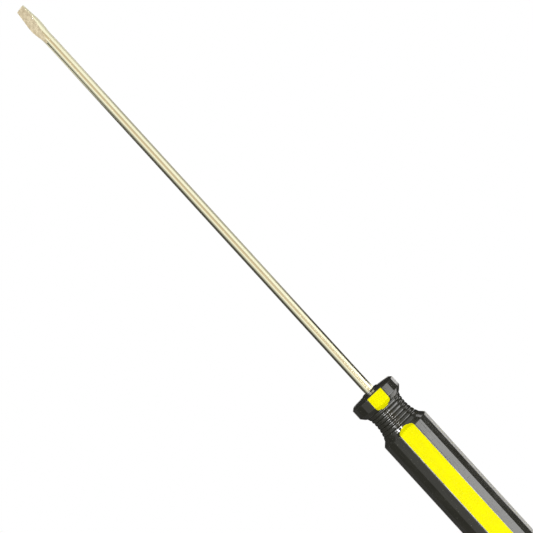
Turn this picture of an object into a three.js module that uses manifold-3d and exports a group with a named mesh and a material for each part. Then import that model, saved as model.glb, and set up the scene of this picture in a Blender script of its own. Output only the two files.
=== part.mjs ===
// A long slotted screwdriver: a steel blade fixed in a black faceted handle with yellow inlaid stripes.
//
// Frame: +X runs from the butt to the tip, +Z is up, and the tool lies on a narrow black facet of its grip.
// The origin is the centre of the bottom of the bounding box.
//
// The pieces are drawn in an axis frame of their own: Z runs along the tool towards the tip, with zero
// at the front of the handle, Y is up and X points to the tool's left. Depths into the handle are
// given as distances behind its front, so they count towards -Z.

import * as THREE from 'three';
import { mergeVertices } from 'three/addons/utils/BufferGeometryUtils.js';
import Module from 'manifold-3d';

const wasm = await Module();
wasm.setup();

const DEGREE = Math.PI / 180;

// Overall sizes, in millimetres
const BLADE_LENGTH = 300;
const HANDLE_LENGTH = 136;
const SHANK_RADIUS = 6.35 / 2;
const GRIP_RADIUS = 31.8 / 2;
const COLLAR_RADIUS = 30.8 / 2;

// Cross-section of the grip and the collar, as angles from straight up towards the left: three wide
// flats, one for each stripe, with four narrow facets between each two. The last corner is the next flat's.
const STRIPE_STEP = 120 * DEGREE;
const FLAT_CORNERS = [-21.5, 21.5, 40, 60, 80].map((angle) => angle * DEGREE);
const SECTION_TURN = -10 * DEGREE;

// The narrow facet that faces straight down, and how far below the axis it lies
const RESTING_FACET_HALF_ANGLE = 10 * DEGREE;
const RESTING_APOTHEM = GRIP_RADIUS * Math.cos(RESTING_FACET_HALF_ANGLE);

// Turned outline of the handle, as distances behind its front and radii
const BOSS_RADIUS = 4.3;
const BOSS_FOOT = { behind: 0.6, radius: 5.6 };
const RIM_START = { behind: 1.3, radius: 13.7 };
const COLLAR_START = 2.8;
const COLLAR_END = 8.7;
const CHAMFER_SLOPE = 0.9;
const NECK_MIDDLE = 18.3;
const NECK_RADIUS = 11.05;
const NECK_CURVE_RADIUS = 21.5;
const FLARE_SLOPE = 1.0;
const GRIP_START = 30.7;
const BUTT_ROUND_START = 128;
const BUTT_FLAT_RADIUS = 7.5;

// How far the turned outline runs outside the facets where they are left as they are
const TURNING_MARGIN = 0.5;

// How far a cutting or joining shape runs past the end of what it works on
const OVERRUN = 1;

// Rings turned into the neck
const RINGS_START = 10.73;
const RING_COUNT = 7;
const RING_PITCH = 2.298;
const RING_DEPTH = 0.6;
const STEPS_PER_RING = 4;
const RINGS_END = RINGS_START + RING_COUNT * RING_PITCH;

// Stripes: bars with a flat face and a back with rounded edges, let into the wide flats
const STRIPE_HALF_WIDTH = 5.1;
const STRIPE_CENTRE = 14.95;
const STRIPE_SQUARENESS = 3.5;
const SEAM = 0.3;
const COLLAR_STRIPE = { front: 2.2, rear: 12.4, depth: 3.2 };
const GRIP_STRIPE = { front: NECK_MIDDLE, rear: HANDLE_LENGTH + OVERRUN, depth: 2.0 };
const STRIPE_TURNS = ['top', 'left', 'right'].map((side, index) => (
  { side, angle: SECTION_TURN + index * STRIPE_STEP }
));

// Slotted tip, as distances behind the end of the blade
const TIP_TURN = 34.6 * DEGREE;
const TIP_END = { width: 6.4, thickness: 1.2 };
const TIP_WIDEST = { behind: 12.5, width: 8.4 };
const TIP_ROOT = 24;

// Ground faces of the tip, as heights above its middle: thin at the end, then a step, then a long slope
const TIP_FACE = [
  { behind: 7.5, height: 0.8 },
  { behind: 10, height: 1.45 },
  { behind: 26.5, height: 3.25 },
];

// Hidden tang with two pairs of pressed wings that keep the blade from turning
const TANG_LENGTH = 70;
const TANG_TAPER = { length: 3, height: 1 };
const WING_LENGTH = 14;
const WING_SPAN = 9.4;
const WING_THICKNESS = 3.2;
const WING_PLACES = [{ behind: 24, turn: 0 }, { behind: 46, turn: 90 * DEGREE }];

// How finely the curves are cut into straight steps
const HANDLE_SEGMENTS = 48;
const SHANK_SEGMENTS = 32;
const STRIPE_SEGMENTS = 24;
const FLARE_STEPS = 5;
const BUTT_STEPS = 6;
const SWELLING_STEPS = 10;

// ---- Solids ------------------------------------------------------------------------------------

// The closed solid inside a geometry, for cutting and joining.
function solidOf(geometry) {
  geometry.deleteAttribute('normal');
  geometry.deleteAttribute('uv');
  const merged = mergeVertices(geometry);
  const corners = merged.index.array;
  const triangles = [];
  for (let i = 0; i < corners.length; i += 3) {
    const [a, b, c] = corners.slice(i, i + 3);
    if (a !== b && b !== c && c !== a) triangles.push(a, b, c);
  }
  return new wasm.Manifold(new wasm.Mesh({
    numProp: 3,
    vertProperties: merged.attributes.position.array,
    triVerts: new Uint32Array(triangles),
  }));
}

function geometryOf(solid) {
  const mesh = solid.getMesh();
  const geometry = new THREE.BufferGeometry();
  geometry.setAttribute('position', new THREE.BufferAttribute(mesh.vertProperties, 3));
  geometry.setIndex(new THREE.BufferAttribute(mesh.triVerts, 1));
  geometry.computeVertexNormals();
  return geometry;
}

// A solid turned about the tool's axis, from an outline of {radius, z} that starts and ends on the axis.
function turned(outline, segments) {
  const points = outline.map(({ radius, z }) => new THREE.Vector2(radius, z));
  return solidOf(new THREE.LatheGeometry(points, segments).rotateX(Math.PI / 2));
}

// A straight bar along the tool's axis between two places, low end first.
function bar(shape, low, high) {
  const geometry = new THREE.ExtrudeGeometry(shape, { depth: high - low, bevelEnabled: false });
  return solidOf(geometry.translate(0, 0, low));
}

// ---- Handle ------------------------------------------------------------------------------------

// The fifteen-sided section, whose corners all lie on one circle.
function facetedSection(radius) {
  const corners = STRIPE_TURNS.flatMap(({ angle }) => FLAT_CORNERS.map((corner) => angle + corner));
  return new THREE.Shape(corners.map((angle) => (
    new THREE.Vector2(radius * Math.sin(angle), radius * Math.cos(angle))
  )));
}

// The neck: the collar's chamfer, a hollow curve and the flare that rises to the grip.
function neckRadius(behind) {
  const chamfer = COLLAR_RADIUS - CHAMFER_SLOPE * (behind - COLLAR_END);
  const hollow = NECK_RADIUS + (behind - NECK_MIDDLE) ** 2 / (2 * NECK_CURVE_RADIUS);
  const rise = GRIP_RADIUS - FLARE_SLOPE * (GRIP_START - behind);
  return Math.max(chamfer, hollow, rise);
}

// The neck's rings, from the crest at their front to the crest at their rear.
function ringedNeck() {
  const steps = RING_COUNT * STEPS_PER_RING;
  const points = [];
  for (let step = 0; step <= steps; step += 1) {
    const behind = RINGS_START + ((RINGS_END - RINGS_START) * step) / steps;
    const groove = (1 - Math.cos((2 * Math.PI * step) / STEPS_PER_RING)) / 2;
    points.push({ behind, radius: neckRadius(behind) - RING_DEPTH * groove });
  }
  return points;
}

// The flare behind the rings, up to a radius just outside the grip's corners.
function flare() {
  const end = GRIP_START + TURNING_MARGIN / FLARE_SLOPE;
  return Array.from({ length: FLARE_STEPS }, (_, step) => {
    const behind = RINGS_END + ((end - RINGS_END) * (step + 1)) / FLARE_STEPS;
    return { behind, radius: neckRadius(behind) };
  });
}

// The butt's rounded edge, a quarter of an ellipse.
function roundedButt(outerRadius) {
  const points = [];
  for (let step = 0; step <= BUTT_STEPS; step += 1) {
    const angle = (step / BUTT_STEPS) * (Math.PI / 2);
    points.push({
      behind: BUTT_ROUND_START + (HANDLE_LENGTH - BUTT_ROUND_START) * Math.sin(angle),
      radius: BUTT_FLAT_RADIUS + (outerRadius - BUTT_FLAT_RADIUS) * Math.cos(angle),
    });
  }
  return points;
}

function turnedHandle() {
  const outline = [
    { behind: 0, radius: 0 },
    { behind: 0, radius: BOSS_RADIUS },
    BOSS_FOOT,
    RIM_START,
    { behind: COLLAR_START, radius: COLLAR_RADIUS },
    { behind: COLLAR_START + TURNING_MARGIN, radius: COLLAR_RADIUS + TURNING_MARGIN },
    { behind: COLLAR_END - TURNING_MARGIN / CHAMFER_SLOPE, radius: COLLAR_RADIUS + TURNING_MARGIN },
    ...ringedNeck(),
    ...flare(),
    ...roundedButt(GRIP_RADIUS + TURNING_MARGIN),
    { behind: HANDLE_LENGTH, radius: 0 },
  ];
  return turned(outline.reverse().map(({ behind, radius }) => ({ radius, z: -behind })), HANDLE_SEGMENTS);
}

// The outside of the whole handle: the faceted collar and grip, which run into each other inside the
// neck, cut by the turned outline.
function handleOutside() {
  const collar = bar(facetedSection(COLLAR_RADIUS), -RINGS_END, OVERRUN);
  const grip = bar(facetedSection(GRIP_RADIUS), -HANDLE_LENGTH - OVERRUN, -RINGS_START);
  return collar.add(grip).intersect(turnedHandle());
}

// One stripe's bar, or its pocket when it is grown by the seam.
function stripeBar(angle, grow, { front, rear, depth }) {
  const squared = (value) => Math.sign(value) * Math.abs(value) ** (2 / STRIPE_SQUARENESS);
  const points = Array.from({ length: STRIPE_SEGMENTS }, (_, index) => {
    const turn = (2 * Math.PI * index) / STRIPE_SEGMENTS;
    return new THREE.Vector2(
      (STRIPE_HALF_WIDTH + grow) * squared(Math.cos(turn)),
      STRIPE_CENTRE + (depth + grow) * squared(Math.sin(turn)),
    );
  });
  return bar(new THREE.Shape(points), -rear - grow, grow - front).rotate([0, 0, -angle / DEGREE]);
}

function handleBody(outside) {
  let body = outside.subtract(tang(SEAM));
  for (const { angle } of STRIPE_TURNS) {
    body = body.subtract(stripeBar(angle, SEAM, COLLAR_STRIPE)).subtract(stripeBar(angle, SEAM, GRIP_STRIPE));
  }
  return body;
}

// ---- Blade -------------------------------------------------------------------------------------

// Radius of the blade: its tip is forged out from the end to its widest place and back in to the shank.
function bladeRadius(behindEnd) {
  const end = TIP_END.width / 2;
  const widest = TIP_WIDEST.width / 2;
  if (behindEnd <= TIP_WIDEST.behind) {
    return widest - (widest - end) * (1 - behindEnd / TIP_WIDEST.behind) ** 2;
  }
  const back = (behindEnd - TIP_WIDEST.behind) / (TIP_ROOT - TIP_WIDEST.behind);
  return SHANK_RADIUS + ((widest - SHANK_RADIUS) * (1 + Math.cos(Math.PI * back))) / 2;
}

// The round shank with the forged swelling of its tip.
function rod() {
  const swelling = Array.from({ length: SWELLING_STEPS + 1 }, (_, step) => {
    const behindEnd = TIP_ROOT * (1 - step / SWELLING_STEPS);
    return { radius: bladeRadius(behindEnd), z: BLADE_LENGTH - behindEnd };
  });
  return turned([
    { radius: 0, z: 0 },
    { radius: SHANK_RADIUS, z: 0 },
    ...swelling,
    { radius: 0, z: BLADE_LENGTH },
  ], SHANK_SEGMENTS);
}

// The space between the two ground faces, which opens from the end of the tip until it clears the shank.
function wedge() {
  const across = 2 * TIP_WIDEST.width;
  const face = [
    { behind: 0, height: TIP_END.thickness / 2 },
    ...TIP_FACE,
    { behind: BLADE_LENGTH, height: TIP_FACE.at(-1).height },
  ];
  const upper = face.map(({ behind, height }) => new THREE.Vector2(height, BLADE_LENGTH - behind));
  const lower = face.map(({ behind, height }) => new THREE.Vector2(-height, BLADE_LENGTH - behind));
  const outline = new THREE.Shape([...upper.reverse(), ...lower]);
  const geometry = new THREE.ExtrudeGeometry(outline, { depth: across, bevelEnabled: false });
  geometry.translate(0, 0, -across / 2).rotateX(Math.PI / 2).rotateZ(Math.PI / 2);
  return solidOf(geometry);
}

// The tang inside the handle, grown for its socket. The socket is open at the handle's front.
function tang(grow) {
  const radius = SHANK_RADIUS + grow;
  const end = -TANG_LENGTH - grow;
  let solid = turned([
    { radius: 0, z: end },
    { radius: radius - TANG_TAPER.height, z: end },
    { radius, z: end + TANG_TAPER.length },
    { radius, z: OVERRUN },
    { radius: 0, z: OVERRUN },
  ], SHANK_SEGMENTS);
  for (const { behind, turn } of WING_PLACES) {
    const length = WING_LENGTH + 2 * grow;
    const wings = new THREE.BoxGeometry(WING_SPAN + 2 * grow, WING_THICKNESS + 2 * grow, length);
    wings.rotateZ(turn).translate(0, 0, -behind - WING_LENGTH / 2);
    solid = solid.add(solidOf(wings));
  }
  return solid;
}

function blade() {
  return rod().intersect(wedge()).rotate([0, 0, -TIP_TURN / DEGREE]).add(tang(0));
}

// ---- Materials ---------------------------------------------------------------------------------

const platedSteel = new THREE.MeshStandardMaterial({ color: 0xcfc4a4, roughness: 0.25, metalness: 1 });
const blackPlastic = new THREE.MeshStandardMaterial({ color: 0x151513, roughness: 0.25, metalness: 0 });
const yellowPlastic = new THREE.MeshStandardMaterial({ color: 0xf6e600, roughness: 0.35, metalness: 0 });

// ---- Assembly ----------------------------------------------------------------------------------

function piece(name, solid, material) {
  const mesh = new THREE.Mesh(geometryOf(solid), material);
  mesh.name = name;
  return mesh;
}

const outside = handleOutside();
const tool = new THREE.Group();
tool.add(piece('blade', blade(), platedSteel));
tool.add(piece('handle_body', handleBody(outside), blackPlastic));
for (const { side, angle } of STRIPE_TURNS) {
  for (const [place, stripeShape] of [['collar', COLLAR_STRIPE], ['grip', GRIP_STRIPE]]) {
    const stripe = stripeBar(angle, 0, stripeShape).intersect(outside);
    tool.add(piece(`${place}_stripe_${side}`, stripe, yellowPlastic));
  }
}

// Turn the axis frame into the part's frame: its Z becomes X, its Y becomes Z and its X becomes Y.
tool.quaternion.setFromAxisAngle(new THREE.Vector3(1, 1, 1).normalize(), (2 * Math.PI) / 3);
tool.position.set((HANDLE_LENGTH - BLADE_LENGTH) / 2, 0, RESTING_APOTHEM);

const screwdriver = new THREE.Group();
screwdriver.add(tool);

export default screwdriver;
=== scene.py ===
"""A long slotted screwdriver with a striped handle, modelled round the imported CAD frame.

Lengths are millimetres until they become coordinates. Along the tool they count from the handle's
front: "behind" runs back into the handle and "ahead" runs out along the blade. Angles round the tool's
axis count from straight up towards its left side (+Y).
"""

import math

import bmesh
import bpy
import numpy as np
from mathutils import Matrix, Vector


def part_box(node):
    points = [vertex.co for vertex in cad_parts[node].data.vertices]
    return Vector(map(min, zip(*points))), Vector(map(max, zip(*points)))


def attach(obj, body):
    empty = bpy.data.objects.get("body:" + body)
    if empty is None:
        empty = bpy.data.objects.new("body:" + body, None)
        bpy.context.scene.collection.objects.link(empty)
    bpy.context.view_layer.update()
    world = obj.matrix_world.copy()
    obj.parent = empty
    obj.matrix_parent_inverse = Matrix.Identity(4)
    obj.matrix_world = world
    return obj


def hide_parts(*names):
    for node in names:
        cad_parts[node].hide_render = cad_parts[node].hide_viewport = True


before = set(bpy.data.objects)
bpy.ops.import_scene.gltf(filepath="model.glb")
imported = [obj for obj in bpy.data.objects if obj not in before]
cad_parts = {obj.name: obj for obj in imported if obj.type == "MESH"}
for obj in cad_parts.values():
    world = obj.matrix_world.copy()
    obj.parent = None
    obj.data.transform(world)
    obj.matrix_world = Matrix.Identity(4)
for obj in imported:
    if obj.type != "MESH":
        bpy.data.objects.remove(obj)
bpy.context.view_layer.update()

MM = 0.001
SCENE = bpy.context.scene

# ---- Places from the frame ---------------------------------------------------------------------

HANDLE_LOW, HANDLE_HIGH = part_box("handle_body")
BLADE_LOW, BLADE_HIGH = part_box("blade")
FRONT_X = HANDLE_HIGH.x / MM
AXIS_Z = (BLADE_LOW.z + BLADE_HIGH.z) / 2 / MM
HANDLE_LENGTH = FRONT_X - HANDLE_LOW.x / MM
BLADE_LENGTH = BLADE_HIGH.x / MM - FRONT_X
TANG_LENGTH = FRONT_X - BLADE_LOW.x / MM

# ---- Sizes, as in the CAD ----------------------------------------------------------------------

SHANK_RADIUS = 6.35 / 2
GRIP_RADIUS = 31.8 / 2
COLLAR_RADIUS = 30.8 / 2

# Section of the grip and the collar: a wide flat for each stripe, four narrow facets between each two
SECTION_TURN = math.radians(-10)
STRIPE_STEP = math.radians(120)
STRIPE_SIDES = ("top", "left", "right")
FLAT_CORNERS = [math.radians(angle) for angle in (-21.5, 21.5, 40, 60, 80)]

# How sharply two surfaces of the handle meet: between facets, and where the flare rises to the grip
EDGE_SHARPNESS = 22
FLARE_SHARPNESS = 12

# The turned outline of the handle
BOSS_RADIUS = 4.3
BOSS_EDGE = (0.6, 5.6)
RIM_START = (1.3, 13.0)
RIM_ROUNDING = [(1.34, 13.4), (1.44, 13.7), (1.6, 13.95)]
COLLAR_START = 2.8
COLLAR_END = 8.7
CHAMFER_SLOPE = 0.9
NECK_MIDDLE = 18.3
NECK_RADIUS = 11.05
NECK_CURVE_RADIUS = 21.5
FLARE_SLOPE = 1.0
GRIP_START = 30.7
BUTT_ROUND_START = 128
BUTT_FLAT_RADIUS = 7.5
OUTSIDE_MARGIN = 1.0

# The neck's rings
RINGS_START = 10.73
RING_COUNT = 7
RING_PITCH = 2.298
RING_DEPTH = 0.6
BEAD_SQUARENESS = 3.2
RINGS_END = RINGS_START + RING_COUNT * RING_PITCH

# Stripes
STRIPE_HALF_WIDTH = 5.1
STRIPE_CENTRE = 14.95
STRIPE_SQUARENESS = 3.5
SEAM = 0.03

# Each stripe's bar, as its front and rear places and its half height
COLLAR_STRIPE = (2.2, 12.4, 3.2)
GRIP_STRIPE = (NECK_MIDDLE, HANDLE_LENGTH + 1, 2.0)

# Tip, with places behind the end of the blade
TIP_TURN = math.radians(34.6)
TIP_END_WIDTH = 6.4
TIP_END_THICKNESS = 1.2
TIP_WIDEST = (12.5, 8.4)
TIP_ROOT = 24
TIP_FACE = [(0, TIP_END_THICKNESS / 2), (7.5, 0.8), (10, 1.45), (26.5, 3.25)]

# How far the tip stands to the +Y side of the shank, and between which places the shank bends there
TIP_OFFSET = 0.5
TIP_BEND = (TIP_ROOT - 10, TIP_ROOT + 4)

# What the grinder's cutter covers: half its width, its depth and its places
CUTTER_HALF_WIDTH = 8
CUTTER_DEPTH = 12
CUTTER_REACH = (-1, 34)

# Tang
TANG_TAPER_LENGTH = 3
TANG_TAPER_HEIGHT = 1
WING_LENGTH = 14
WING_SPAN = 9.4
WING_THICKNESS = 3.2
WING_CORNER = 0.8
WING_PLACES = [(24, 0), (46, math.radians(90))]
SOCKET_GAP = 0.05

# How finely the curves are cut into straight steps
BOSS_STEPS = 6
DISH_STEPS = 14
RIM_STEPS = 24
COLLAR_STEPS = 6
CHAMFER_STEPS = 26
STEPS_PER_RING = 14
FLARE_STEPS = 48
GRIP_STEPS = 24
BUTT_STEPS = 24
STRIPE_SEGMENTS = 96
TANG_SEGMENTS = 64
BLADE_SEGMENTS = 128
TIP_STEP = 0.4
SHANK_STEPS = 40
CUTTER_STEPS = 106

# Degrees from a corner of the section, and along a wide flat, at which the handle has its points
NEAR_CORNER = (0, 0.35, 0.75, 1.3, 2.2, 3.6, 5.8)
ALONG_FLAT = [2.6 * step for step in range(-5, 6)]

# Edges bent by more than this stay sharp, and shorter ones than this, in metres, are merged
SHARP_ANGLE = math.radians(30)
SLIVER = 1e-7

# ---- Mesh helpers ------------------------------------------------------------------------------


def world_points(behind, radius, angle):
    """Points in metres from arrays of distance behind the handle's front, radius and angle."""
    behind, radius, angle = np.broadcast_arrays(behind, radius, angle)
    return np.stack([
        FRONT_X - behind,
        radius * np.sin(angle),
        AXIS_Z + radius * np.cos(angle),
    ], axis=-1) * MM


def new_object(name, points, faces):
    mesh = bpy.data.meshes.new(name)
    mesh.from_pydata([tuple(point) for point in points], [], faces)
    mesh.validate()
    obj = bpy.data.objects.new(name, mesh)
    SCENE.collection.objects.link(obj)
    face_out(obj)
    return obj


def face_out(obj):
    shape = bmesh.new()
    shape.from_mesh(obj.data)
    bmesh.ops.recalc_face_normals(shape, faces=shape.faces)
    shape.to_mesh(obj.data)
    shape.free()


def tube_of_rings(name, grid):
    """A closed solid from a grid of points: rings along the tool, capped at both ends."""
    rings, columns = grid.shape[:2]
    points = grid.reshape(-1, 3)
    faces = []
    for ring in range(rings - 1):
        for column in range(columns):
            after = (column + 1) % columns
            faces.append((ring * columns + column, ring * columns + after,
                          (ring + 1) * columns + after, (ring + 1) * columns + column))
    faces.append(tuple(range(columns)))
    faces.append(tuple(range((rings - 1) * columns, rings * columns)))
    return new_object(name, points, faces)


def combine(obj, other, operation):
    """Cuts, joins or intersects obj with other, which is used up."""
    modifier = obj.modifiers.new(operation, "BOOLEAN")
    modifier.operation = operation
    modifier.object = other
    modifier.solver = "MANIFOLD"
    modifier.material_mode = "TRANSFER"
    evaluated = obj.evaluated_get(bpy.context.evaluated_depsgraph_get())
    result = bpy.data.meshes.new_from_object(evaluated)
    obj.modifiers.clear()
    obj.data = result
    bpy.data.objects.remove(other)
    return obj


def copy_of(obj, name):
    copy = obj.copy()
    copy.data = obj.data.copy()
    copy.name = name
    SCENE.collection.objects.link(copy)
    return copy


def soften(obj):
    """Smooth shading that breaks at the sharp edges."""
    shape = bmesh.new()
    shape.from_mesh(obj.data)
    bmesh.ops.dissolve_degenerate(shape, edges=shape.edges, dist=SLIVER)
    for face in shape.faces:
        face.smooth = True
    for edge in shape.edges:
        edge.smooth = edge.calc_face_angle(0) < SHARP_ANGLE
    shape.to_mesh(obj.data)
    shape.free()


# ---- Handle ------------------------------------------------------------------------------------


def section_corners():
    return [SECTION_TURN + stripe * STRIPE_STEP + corner
            for stripe in range(3) for corner in FLAT_CORNERS]


def facet_radii(corner_radius, angles):
    """Radius of each facet's plane along each angle; very large where the facet faces away."""
    least_facing = 0.3
    far = 1000
    corners = section_corners()
    radii = []
    for index, start in enumerate(corners):
        end = corners[(index + 1) % len(corners)]
        width = (end - start) % math.tau
        middle = start + width / 2
        towards = np.cos(angles - middle)
        apothem = corner_radius * math.cos(width / 2)
        plane = apothem / np.maximum(towards, least_facing)
        radii.append(np.where(towards > least_facing, plane, far))
    return radii


def smooth_least(radii, sharpness):
    """The least of several radii, with the meeting edges a little rounded."""
    stacked = np.stack(np.broadcast_arrays(*radii))
    least = stacked.min(axis=0)
    total = np.exp(-sharpness * (stacked - least)).sum(axis=0)
    return least - np.log(total) / sharpness


def section_angles():
    """Angles round the handle, close together at the section's corners."""
    angles = []
    for corner in section_corners():
        for degrees in NEAR_CORNER:
            angles += [corner + math.radians(degrees), corner - math.radians(degrees)]
    for stripe in range(3):
        middle = SECTION_TURN + stripe * STRIPE_STEP
        angles += [middle + math.radians(degrees) for degrees in ALONG_FLAT]
    return np.array(sorted({round(angle % math.tau, 6) for angle in angles}))


def neck_radius(behind):
    """The neck: the collar's chamfer, a hollow curve and the flare that rises to the grip."""
    chamfer = COLLAR_RADIUS - CHAMFER_SLOPE * (behind - COLLAR_END)
    hollow = NECK_RADIUS + (behind - NECK_MIDDLE) ** 2 / (2 * NECK_CURVE_RADIUS)
    rise = GRIP_RADIUS - FLARE_SLOPE * (GRIP_START - behind)
    return max(chamfer, hollow, rise)


def steps_between(start, end, count):
    """Straight steps between two (behind, radius) points, without the last."""
    return [(start[0] + (end[0] - start[0]) * step / count,
             start[1] + (end[1] - start[1]) * step / count) for step in range(count)]


def front_profile():
    """The moulded boss round the shank, the dished front face and its rolled rim."""
    edge, edge_radius = BOSS_EDGE
    points = [(0, BOSS_RADIUS)]
    for step in range(1, BOSS_STEPS + 1):
        angle = step / BOSS_STEPS * math.pi / 2
        points.append((edge * (1 - math.cos(angle)),
                       BOSS_RADIUS + (edge_radius - BOSS_RADIUS) * math.sin(angle)))
    points += steps_between(BOSS_EDGE, RIM_START, DISH_STEPS)[1:]
    points += [RIM_START, *RIM_ROUNDING]
    rim, rim_radius = RIM_ROUNDING[-1]
    slope = (COLLAR_RADIUS - rim_radius) / (COLLAR_START - rim)
    top = (COLLAR_START + OUTSIDE_MARGIN / slope, COLLAR_RADIUS + OUTSIDE_MARGIN)
    return points + steps_between(RIM_ROUNDING[-1], top, RIM_STEPS)[1:] + [top]


def ring_profile():
    """Grooves between flat-topped beads, on the hollow curve of the neck."""
    points = []
    for step in range(RING_COUNT * STEPS_PER_RING + 1):
        behind = RINGS_START + RING_PITCH * step / STEPS_PER_RING
        from_crest = abs((step / STEPS_PER_RING + 0.5) % 1 - 0.5) * 2
        points.append((behind, neck_radius(behind) - RING_DEPTH * from_crest ** BEAD_SQUARENESS))
    return points


def butt_profile():
    """The rounded edge of the butt and its flat end."""
    outer = GRIP_RADIUS + OUTSIDE_MARGIN
    points = []
    for step in range(1, BUTT_STEPS + 1):
        angle = step / BUTT_STEPS * math.pi / 2
        points.append((BUTT_ROUND_START + (HANDLE_LENGTH - BUTT_ROUND_START) * math.sin(angle),
                       BUTT_FLAT_RADIUS + (outer - BUTT_FLAT_RADIUS) * math.cos(angle)))
    points += [(HANDLE_LENGTH, radius) for radius in (6, 3, 1)]
    return points


def handle_profile():
    """The whole turned outline, a little outside the facets where they are left as they are."""
    collar_out = COLLAR_RADIUS + OUTSIDE_MARGIN
    grip_out = GRIP_RADIUS + OUTSIDE_MARGIN
    chamfer_top = (COLLAR_END - OUTSIDE_MARGIN / CHAMFER_SLOPE, collar_out)
    flare_top = (GRIP_START + OUTSIDE_MARGIN / FLARE_SLOPE, grip_out)
    grip_end = (BUTT_ROUND_START, grip_out)
    flare_places = np.linspace(RINGS_END, flare_top[0], FLARE_STEPS)[1:-1]
    rings = ring_profile()
    points = front_profile()
    points += steps_between(points[-1], chamfer_top, COLLAR_STEPS)[1:]
    points += steps_between(chamfer_top, rings[0], CHAMFER_STEPS)
    points += rings
    points += [(behind, neck_radius(behind)) for behind in flare_places]
    points += steps_between(flare_top, grip_end, GRIP_STEPS)
    points.append(grip_end)
    return points + butt_profile()


def handle_outside():
    """The faceted and turned outside of the handle as one closed solid."""
    angles = section_angles()
    rings = []
    collar_facets = smooth_least(facet_radii(COLLAR_RADIUS, angles), EDGE_SHARPNESS)
    grip_facets = smooth_least(facet_radii(GRIP_RADIUS, angles), EDGE_SHARPNESS)
    for behind, turned in handle_profile():
        if behind > NECK_MIDDLE:
            radii = smooth_least([grip_facets, turned], FLARE_SHARPNESS)
        else:
            radii = smooth_least([collar_facets, turned], EDGE_SHARPNESS)
        rings.append(world_points(behind, radii, angles))
    return tube_of_rings("handle_outside", np.array(rings))


def squared(values):
    """Turns a circle's cosines or sines into those of a rounded square."""
    return np.sign(values) * np.abs(values) ** (2 / STRIPE_SQUARENESS)


def stripe_bar(name, turn, grow, front, rear, depth):
    """One stripe's bar, a rounded rectangle in section, or its pocket when it is grown."""
    around = np.linspace(0, math.tau, STRIPE_SEGMENTS, endpoint=False)
    across = (STRIPE_HALF_WIDTH + grow) * squared(np.cos(around))
    outward = STRIPE_CENTRE + (depth + grow) * squared(np.sin(around))
    radius = np.hypot(across, outward)
    angle = turn + np.arctan2(across, outward)
    places = (front - grow, rear + grow)
    return tube_of_rings(name, np.array([world_points(place, radius, angle) for place in places]))


def tang_solid(name, grow):
    """The blade's tang with its pressed wings, or its socket when it is grown."""
    radius = SHANK_RADIUS + grow
    end = TANG_LENGTH + grow
    around = np.linspace(0, math.tau, TANG_SEGMENTS, endpoint=False)
    profile = [(-1, radius), (end - TANG_TAPER_LENGTH, radius), (end, radius - TANG_TAPER_HEIGHT)]
    tang = tube_of_rings(name, np.array([world_points(*place, around) for place in profile]))
    for index, (behind, turn) in enumerate(WING_PLACES):
        combine(tang, wing_block(f"{name}_wings_{index}", behind, turn, grow), "UNION")
    return tang


def wing_block(name, behind, turn, grow):
    """A pair of wings: one flattened block across the tang, rounded off at its corners."""
    corner_across = WING_SPAN / 2 + grow - WING_CORNER
    corner_outward = WING_THICKNESS / 2 + grow - WING_CORNER
    section = []
    for side_across, side_outward, start in ((1, 1, 0), (-1, 1, 90), (-1, -1, 180), (1, -1, 270)):
        for degrees in (0, 22.5, 45, 67.5, 90):
            angle = math.radians(start + degrees)
            section.append((side_across * corner_across + WING_CORNER * math.cos(angle),
                            side_outward * corner_outward + WING_CORNER * math.sin(angle)))
    across, outward = np.array(section).T
    radius = np.hypot(across, outward)
    angle = turn + np.arctan2(across, outward)
    places = (behind - grow, behind + WING_LENGTH + grow)
    return tube_of_rings(name, np.array([world_points(place, radius, angle) for place in places]))


def make_handle():
    """The black body and its six stripes, cut from one outside."""
    outside = handle_outside()
    body = copy_of(outside, "striped_handle")
    combine(body, tang_solid("socket", SOCKET_GAP), "DIFFERENCE")
    stripes = []
    for index, side in enumerate(STRIPE_SIDES):
        turn = SECTION_TURN + index * STRIPE_STEP
        for place, shape in (("collar", COLLAR_STRIPE), ("grip", GRIP_STRIPE)):
            combine(body, stripe_bar("pocket", turn, SEAM, *shape), "DIFFERENCE")
            stripe = copy_of(outside, f"{place}_inlay_{side}")
            combine(stripe, stripe_bar("bar", turn, 0, *shape), "INTERSECT")
            stripes.append((stripe, f"{place}_stripe_{side}"))
    bpy.data.objects.remove(outside)
    return body, stripes


# ---- Blade -------------------------------------------------------------------------------------


def blade_radius(behind_end):
    """Radius of the blade: forged out from its end to the widest place and back in to the shank."""
    widest_place, widest = TIP_WIDEST
    if behind_end <= widest_place:
        return widest / 2 - (widest - TIP_END_WIDTH) / 2 * (1 - behind_end / widest_place) ** 2
    back = min((behind_end - widest_place) / (TIP_ROOT - widest_place), 1)
    return SHANK_RADIUS + (widest / 2 - SHANK_RADIUS) * (1 + math.cos(math.pi * back)) / 2


def tip_shifted(points, behind_end):
    """Moves a ring of points to the +Y side by as much as the tip stands there."""
    start, end = TIP_BEND
    fade = min(max((end - behind_end) / (end - start), 0), 1)
    points[:, 1] += TIP_OFFSET * MM * fade * fade * (3 - 2 * fade)
    return points


def blade_rod():
    """The round shank with the forged swelling of its tip, and the start of its tang."""
    around = np.linspace(0, math.tau, BLADE_SEGMENTS, endpoint=False)
    places = [TIP_STEP * step for step in range(round(TIP_ROOT / TIP_STEP) + 1)]
    places += list(np.linspace(TIP_ROOT + 6, BLADE_LENGTH + 1, SHANK_STEPS))
    rings = [tip_shifted(world_points(place - BLADE_LENGTH, blade_radius(place), around), place)
             for place in places]
    return tube_of_rings("forged_blade", np.array(rings))


def face_height(behind_end):
    """Height of a ground face above the middle of the tip. Behind its last place it rises steeply."""
    places, heights = zip(*TIP_FACE)
    return float(np.interp(behind_end, places, heights)) + max(behind_end - places[-1], 0)


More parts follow.
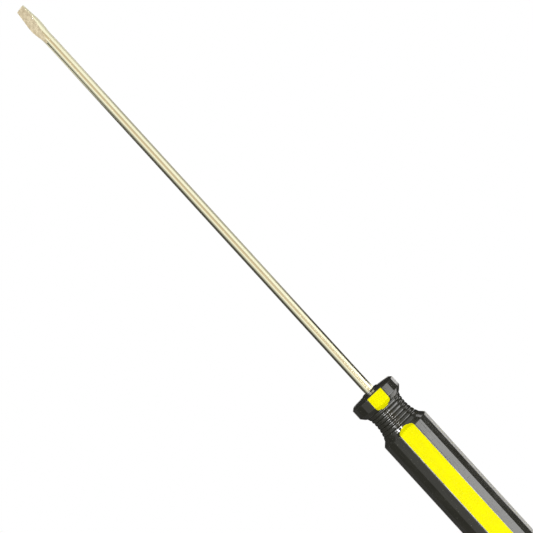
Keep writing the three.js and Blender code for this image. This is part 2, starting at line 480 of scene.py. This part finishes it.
def tip_cutter(side):
    """What the grinder takes off one side of the tip: everything outside its face."""
    across = np.array([-1, 1, 1, -1]) * CUTTER_HALF_WIDTH
    rings = []
    for place in np.linspace(*CUTTER_REACH, CUTTER_STEPS):
        low = face_height(place)
        high = low + CUTTER_DEPTH
        outward = np.array([low, low, high, high]) * side
        angle = TIP_TURN + np.arctan2(across, outward)
        points = world_points(place - BLADE_LENGTH, np.hypot(across, outward), angle)
        rings.append(tip_shifted(points, place))
    return tube_of_rings("tip_cutter", np.array(rings))


def make_blade(plating, ground):
    """The blade with its tang. The ground faces of the tip take their own material."""
    blade = blade_rod()
    paint(blade, plating)
    for side in (1, -1):
        cutter = tip_cutter(side)
        paint(cutter, ground)
        combine(blade, cutter, "DIFFERENCE")
    tang = tang_solid("tang", 0)
    paint(tang, plating)
    return combine(blade, tang, "UNION")


# ---- Camera, floor and light -------------------------------------------------------------------

# The camera looks down on the tool, with the top of the picture turned from the tip towards the right
CAMERA_AHEAD = 71.75
CAMERA_LEFT = -129.67
CAMERA_HEIGHT = 1004.4
TARGET_AHEAD = 92.81
TARGET_LEFT = -4.4
PICTURE_HEADING = math.radians(-42.66)
LENS = 118.2
SENSOR = 36


def make_camera():
    place = Vector((FRONT_X + CAMERA_AHEAD, CAMERA_LEFT, AXIS_Z + CAMERA_HEIGHT)) * MM
    target = Vector((FRONT_X + TARGET_AHEAD, TARGET_LEFT, AXIS_Z)) * MM
    forward = (target - place).normalized()
    heading = Vector((math.cos(PICTURE_HEADING), math.sin(PICTURE_HEADING), 0))
    right = forward.cross(heading).normalized()
    up = right.cross(forward)
    turn = Matrix((right, up, -forward)).transposed().to_4x4()
    data = bpy.data.cameras.new("camera")
    data.lens = LENS
    data.sensor_width = SENSOR
    camera = bpy.data.objects.new("camera", data)
    camera.matrix_world = Matrix.Translation(place) @ turn
    SCENE.collection.objects.link(camera)
    SCENE.camera = camera


# Radiance and tint of the studio along each direction round the tool, as degrees from straight up
# towards +Y: a wide soft ceiling with a dimmer warm gap in it, bright on the -Y side, dark on the +Y side
NEUTRAL = (1, 1, 1)
WARM = (1, 0.84, 0.68)
STUDIO_PEAK = 1.2
STUDIO_GLOW = [
    (-180, 0.1, NEUTRAL),
    (-100, 0.3, NEUTRAL),
    (-94, 0.95, NEUTRAL),
    (-48, 1.05, NEUTRAL),
    (-38, 0.95, NEUTRAL),
    (-28, 0.52, WARM),
    (-14, 0.62, WARM),
    (8, 0.72, WARM),
    (18, 1.0, NEUTRAL),
    (32, 1.0, NEUTRAL),
    (44, 0.55, NEUTRAL),
    (60, 0.45, NEUTRAL),
    (68, 0.25, NEUTRAL),
    (76, 0.05, NEUTRAL),
    (180, 0.05, NEUTRAL),
]

# Along the tool the ceiling fades to this share, between these parts of a direction that point along it
CEILING_END = (0.6, 0.95)
CEILING_END_GLOW = 0.35

# Softboxes, as their middle and size in metres and their radiance: two wide ones beside and over the
# handle, a narrow one that the margins of its top stripe reflect, one off the tip's end, and four small
# ones overhead
SOFTBOXES = [
    ((-0.58, -1.0, 0.33), (0.83, 0.6), 4.6),
    ((-0.67, -0.62, 0.94), (0.83, 0.95), 3.8),
    ((-0.55, -0.25, 1.15), (0.65, 0.12), 11),
    ((1.25, 0.7, 0.9), (0.6, 0.6), 14),
    ((-0.75, 0.0, 1.2), (0.14, 0.14), 100),
    ((-0.75, 0.56, 1.2), (0.14, 0.14), 100),
    ((0.95, 0.0, 1.2), (0.14, 0.14), 100),
    ((0.95, 0.56, 1.2), (0.14, 0.14), 100),
]

# The floor reaches this many metres to each side
FLOOR_SIZE = 3

# How much of the light the floor gives back, as stops of (distance to the +Y side, share): painted light
# and shade on the floor. The grip and the collar lie over a bright strip, a painted pool of light, the
# tip over pale floor, and the blade between them over darker floor, painted shade, that is paler on its
# -Y side. The camera sees none of this, only reflections do: to it the floor is plain white.
FLOOR_SPAN = 80
HANDLE_FLOOR = [(-54, 0.04), (-44, 0.92), (10, 0.92), (24, 0.06)]
BLADE_FLOOR = [(-4, 0.2), (4, 0.04)]
TIP_FLOOR = [(-4, 0.3), (4, 0.3)]
FLOOR_PAINTED_SHADE = (0.03, 0.03, 0.03)

# Where the bright strip of painted light is, as stops of (distance behind the handle's front, strength),
# and between which distances the floor changes to the blade's and to the tip's
STRIP_SPAN = 40
HANDLE_STRIP = [(-1, 0), (1, 1), (9, 1), (11, 0), (27, 0), (31, 1)]
BLADE_FLOOR_CHANGE = (-50, -90)
TIP_FLOOR_CHANGE = (-225, -262)


def make_world():
    world = bpy.data.worlds.new("studio")
    world.use_nodes = True
    tree = world.node_tree
    tree.nodes.clear()
    direction = separate(tree, add(tree, "ShaderNodeTexCoord").outputs["Generated"])
    angle = math_node(tree, "ARCTAN2", direction["Y"], direction["Z"])
    glow = add(tree, "ShaderNodeValToRGB", {"Fac": map_range(tree, angle, (-math.pi, math.pi), (0, 1))})
    stops = []
    for degrees, value, tint in STUDIO_GLOW:
        stops.append(((degrees + 180) / 360, [value / STUDIO_PEAK * channel for channel in tint]))
    fill_ramp(glow, stops)
    sideways = math_node(tree, "ABSOLUTE", direction["X"], 0.0)
    fade = map_range(tree, sideways, CEILING_END, (1, CEILING_END_GLOW))
    shaded = mix_colours(tree, fade, (0, 0, 0), glow.outputs["Color"])
    studio = add(tree, "ShaderNodeBackground", {"Color": shaded, "Strength": STUDIO_PEAK})
    backdrop = add(tree, "ShaderNodeBackground", {"Color": (1, 1, 1, 1), "Strength": 1})
    seen = add(tree, "ShaderNodeLightPath").outputs["Is Camera Ray"]
    mix = add(tree, "ShaderNodeMixShader", {0: seen, 1: studio.outputs[0], 2: backdrop.outputs[0]})
    add(tree, "ShaderNodeOutputWorld", {"Surface": mix.outputs[0]})
    SCENE.world = world


def make_softbox(name, place, size, radiance):
    data = bpy.data.lights.new(name, "AREA")
    data.shape = "RECTANGLE"
    data.size, data.size_y = size
    data.energy = radiance * math.pi * size[0] * size[1]
    light = bpy.data.objects.new(name, data)
    light.location = place
    aim = Vector((min(place[0], BLADE_HIGH.x), 0, 0)) - Vector(place)
    light.rotation_euler = aim.to_track_quat("-Z", "Y").to_euler()
    SCENE.collection.objects.link(light)


def make_lights():
    for index, (place, size, radiance) in enumerate(SOFTBOXES):
        make_softbox(f"softbox_{index}", place, size, radiance)


def change_along(tree, place, behind):
    """Rises from 0 to 1 between two distances behind the handle's front."""
    return map_range(tree, place["X"], [(FRONT_X - distance) * MM for distance in behind], (0, 1))


def share_ramp(tree, along, span, stops):
    """A grey ramp from stops of (distance, share), which reaches as far as span to both sides."""
    ramp = add(tree, "ShaderNodeValToRGB", {"Fac": along})
    fill_ramp(ramp, [((distance / span + 1) / 2, (share,) * 3) for distance, share in stops])
    return ramp.outputs["Color"]


def floor_painted_light(tree):
    """The floor's painted light and shade, which it reflects, from place to place."""
    place = separate(tree, add(tree, "ShaderNodeTexCoord").outputs["Object"])
    across = map_range(tree, place["Y"], (-FLOOR_SPAN * MM, FLOOR_SPAN * MM), (0, 1))
    handle = share_ramp(tree, across, FLOOR_SPAN, HANDLE_FLOOR)
    blade = share_ramp(tree, across, FLOOR_SPAN, BLADE_FLOOR)
    tip = share_ramp(tree, across, FLOOR_SPAN, TIP_FLOOR)
    along = change_along(tree, place, (-STRIP_SPAN, STRIP_SPAN))
    strip = share_ramp(tree, along, STRIP_SPAN, HANDLE_STRIP)
    # Painted shade outside the bright strip of painted light
    tone = mix_colours(tree, strip, FLOOR_PAINTED_SHADE, handle)
    tone = mix_colours(tree, change_along(tree, place, BLADE_FLOOR_CHANGE), tone, blade)
    return mix_colours(tree, change_along(tree, place, TIP_FLOOR_CHANGE), tone, tip)


def make_floor():
    corners = [(x * FLOOR_SIZE, y * FLOOR_SIZE, 0) for x, y in ((-1, -1), (1, -1), (1, 1), (-1, 1))]
    floor = new_object("floor", corners, [(0, 1, 2, 3)])
    material, tree, output = blank_material("floor_white")
    diffuse = add(tree, "ShaderNodeBsdfDiffuse", {"Color": floor_painted_light(tree)})
    white = add(tree, "ShaderNodeEmission", {"Color": (1, 1, 1, 1), "Strength": 1})
    seen = add(tree, "ShaderNodeLightPath").outputs["Is Camera Ray"]
    mix = add(tree, "ShaderNodeMixShader", {0: seen, 1: diffuse.outputs[0], 2: white.outputs[0]})
    tree.links.new(mix.outputs[0], output.inputs["Surface"])
    floor.data.materials.append(material)


# ---- Shader helpers ----------------------------------------------------------------------------


def add(tree, kind, inputs=None, **settings):
    """Adds a node. Each input is a plain value or another node's output socket."""
    node = tree.nodes.new(kind)
    for name, value in settings.items():
        setattr(node, name, value)
    for name, value in (inputs or {}).items():
        if isinstance(value, bpy.types.NodeSocket):
            tree.links.new(value, node.inputs[name])
        else:
            node.inputs[name].default_value = value
    return node


def separate(tree, vector):
    return add(tree, "ShaderNodeSeparateXYZ", {"Vector": vector}).outputs


def math_node(tree, operation, first, second):
    return add(tree, "ShaderNodeMath", {0: first, 1: second}, operation=operation).outputs[0]


def map_range(tree, value, source, target):
    """Carries a value from one range to another and keeps it there."""
    inputs = {"Value": value, "From Min": source[0], "From Max": source[1],
              "To Min": target[0], "To Max": target[1]}
    return add(tree, "ShaderNodeMapRange", inputs).outputs["Result"]


def mix_colours(tree, amount, first, second):
    node = add(tree, "ShaderNodeMix", {"Factor": amount}, data_type="RGBA")
    for socket, colour in ((node.inputs[6], first), (node.inputs[7], second)):
        if isinstance(colour, bpy.types.NodeSocket):
            tree.links.new(colour, socket)
        else:
            socket.default_value = (*colour, 1)
    return node.outputs[2]


def fill_ramp(node, stops):
    """Sets a colour ramp's stops, which come in rising order."""
    elements = node.color_ramp.elements
    elements[0].position, elements[1].position = stops[0][0], stops[-1][0]
    for position, _ in stops[1:-1]:
        elements.new(position)
    for element, (_, colour) in zip(elements, stops):
        element.color = (*colour, 1)


def noise(tree, scale, detail=2, turn=0.0):
    """Noise with its own repeats per metre along each axis, turned about the tool's axis."""
    place = add(tree, "ShaderNodeTexCoord").outputs["Object"]
    inputs = {"Vector": place, "Scale": scale, "Rotation": (turn, 0, 0)}
    mapped = add(tree, "ShaderNodeMapping", inputs).outputs[0]
    inputs = {"Vector": mapped, "Scale": 1, "Detail": detail}
    return add(tree, "ShaderNodeTexNoise", inputs).outputs["Fac"]


def rounded_edges(tree, radius):
    """A normal that rounds the edges off, for the light only."""
    return add(tree, "ShaderNodeBevel", {"Radius": radius}, samples=6).outputs[0]


def bump(tree, height, distance, normal=None):
    inputs = {"Height": height, "Distance": distance, "Strength": 1}
    if normal:
        inputs["Normal"] = normal
    return add(tree, "ShaderNodeBump", inputs).outputs[0]


def blank_material(name):
    """A new material, its tree and its output node, with nothing else in the tree."""
    material = bpy.data.materials.new(name)
    material.use_nodes = True
    tree = material.node_tree
    tree.nodes.clear()
    return material, tree, tree.nodes.new("ShaderNodeOutputMaterial")


def surface(name, build):
    """A material whose Principled shader takes the inputs that build(tree) returns."""
    material, tree, output = blank_material(name)
    shader = add(tree, "ShaderNodeBsdfPrincipled", build(tree))
    tree.links.new(shader.outputs[0], output.inputs["Surface"])
    return material


# ---- Materials ---------------------------------------------------------------------------------

# Base colours: pairs are the two ends that a piece is clouded between
PLATING = ((0.90, 0.86, 0.60), (0.95, 0.93, 0.68))
PLATING_SPOT = (0.55, 0.47, 0.33)
GROUND_FACE = ((0.32, 0.27, 0.175), (0.45, 0.395, 0.27))
GROUND_GRAIN = (0.24, 0.195, 0.12)
BLACK = ((0.009, 0.009, 0.007), (0.018, 0.018, 0.014))
# Paler tone of the corners: wear, and a painted glint along the facet edges
BLACK_WORN_AND_GLINT = (0.14, 0.14, 0.12)
BLACK_DUST = (0.22, 0.22, 0.19)
YELLOW = ((0.39, 0.375, 0.0), (0.415, 0.399, 0.0))
YELLOW_DUST = (0.34, 0.3, 0.02)

# Each plastic's share of scratches in its roughness, and how strongly its dust shows
BLACK_SCRATCHES = 0.25
BLACK_DUST_SHARE = 0.35
YELLOW_SCRATCHES = 0.2
YELLOW_DUST_SHARE = 0.2


def part_of(tree, value, share):
    return math_node(tree, "MULTIPLY", value, share)


def plated_steel(tree):
    """Bright warm plating with polishing lines along the shank and a few dull spots."""
    lines = noise(tree, (14, 5200, 5200), 3)
    clouds = noise(tree, (60, 240, 240), 3)
    spots = map_range(tree, noise(tree, (900, 1400, 1400), 2), (0.66, 0.74), (0, 1))
    tint = mix_colours(tree, clouds, *PLATING)
    brushed = map_range(tree, lines, (0.3, 0.7), (0.10, 0.2))
    return {
        "Base Color": mix_colours(tree, part_of(tree, spots, 0.35), tint, PLATING_SPOT),
        "Metallic": 1,
        "Roughness": math_node(tree, "ADD", brushed, part_of(tree, spots, 0.2)),
        "Normal": bump(tree, lines, 0.004 * MM, rounded_edges(tree, 0.12 * MM)),
    }


def ground_steel(tree):
    """The blasted faces of the tip: matt, grainy and mottled."""
    grain = noise(tree, (1900, 1900, 1900), 4)
    mottle = map_range(tree, noise(tree, (420, 420, 420), 3), (0.35, 0.65), (0, 1))
    tint = mix_colours(tree, mottle, *GROUND_FACE)
    dark_grain = map_range(tree, grain, (0.50, 0.66), (0, 0.7))
    return {
        "Base Color": mix_colours(tree, dark_grain, tint, GROUND_GRAIN),
        "Metallic": 0.2,
        "Roughness": map_range(tree, grain, (0.3, 0.7), (0.5, 0.72)),
        "Normal": bump(tree, grain, 0.025 * MM, rounded_edges(tree, 0.15 * MM)),
    }


def plastic_wear(tree):
    """Fine scratches in three directions and specks of dust, as two masks."""
    scratches = 0.0
    for turn, scale in ((0, (35, 3200, 3200)), (0.5, (2600, 160, 160)), (1.1, (240, 2900, 300))):
        lines = map_range(tree, noise(tree, scale, 1, turn), (0.69, 0.75), (0, 1))
        scratches = math_node(tree, "MAXIMUM", lines, scratches)
    dust = map_range(tree, noise(tree, (1500, 1500, 1500), 2), (0.70, 0.76), (0, 1))
    return scratches, dust


def black_plastic(tree):
    """Glossy black plastic, scratched by handling, with a little dust, and paler corners that are partly
    worn and partly a painted glint along the facet edges.
    """
    scratches, dust = plastic_wear(tree)
    smears = noise(tree, (70, 160, 160), 3)
    # Paler corners by pointiness: partly wear, partly a painted glint along the facet edges
    corners = add(tree, "ShaderNodeNewGeometry").outputs["Pointiness"]
    worn_and_glint = map_range(tree, corners, (0.515, 0.56), (0, 0.3))
    tint = mix_colours(tree, worn_and_glint, mix_colours(tree, smears, *BLACK), BLACK_WORN_AND_GLINT)
    smeared = map_range(tree, smears, (0.35, 0.65), (0.1, 0.2))
    waves = noise(tree, (22, 800, 800), 2)
    relief = math_node(tree, "SUBTRACT", part_of(tree, waves, 0.6), scratches)
    return {
        "Base Color": mix_colours(tree, part_of(tree, dust, BLACK_DUST_SHARE), tint, BLACK_DUST),
        "Roughness": math_node(tree, "ADD", smeared, part_of(tree, scratches, BLACK_SCRATCHES)),
        "IOR": 1.55,
        "Normal": bump(tree, relief, 0.006 * MM),
    }


def yellow_plastic(tree):
    """Clear bright yellow plastic with faint clouds and fine scratches."""
    scratches, dust = plastic_wear(tree)
    clouds = noise(tree, (90, 260, 260), 3)
    tint = mix_colours(tree, map_range(tree, clouds, (0.35, 0.65), (0, 1)), *YELLOW)
    clouded = map_range(tree, clouds, (0.35, 0.65), (0.18, 0.28))
    return {
        "Base Color": mix_colours(tree, part_of(tree, dust, YELLOW_DUST_SHARE), tint, YELLOW_DUST),
        "Roughness": math_node(tree, "ADD", clouded, part_of(tree, scratches, YELLOW_SCRATCHES)),
        "IOR": 1.46,
        "Specular IOR Level": 0.015,
        "Normal": bump(tree, scratches, 0.003 * MM),
    }


# ---- Assembly ----------------------------------------------------------------------------------


def paint(obj, material):
    obj.data.materials.clear()
    obj.data.materials.append(material)


def place_piece(obj, slot, *nodes):
    soften(obj)
    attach(obj, "root")
    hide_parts(*nodes)


make_camera()
make_world()
make_lights()
make_floor()

steel = surface("plated_steel", plated_steel)
ground = surface("ground_steel", ground_steel)
black = surface("black_plastic", black_plastic)
yellow = surface("yellow_plastic", yellow_plastic)

handle, stripes = make_handle()
paint(handle, black)
place_piece(handle, "black_plastic", "handle_body")
for stripe, node in stripes:
    paint(stripe, yellow)
    place_piece(stripe, "yellow_plastic", node)
blade = make_blade(steel, ground)
place_piece(blade, "plated_steel", "blade")

SCENE.view_settings.view_transform = "Standard"
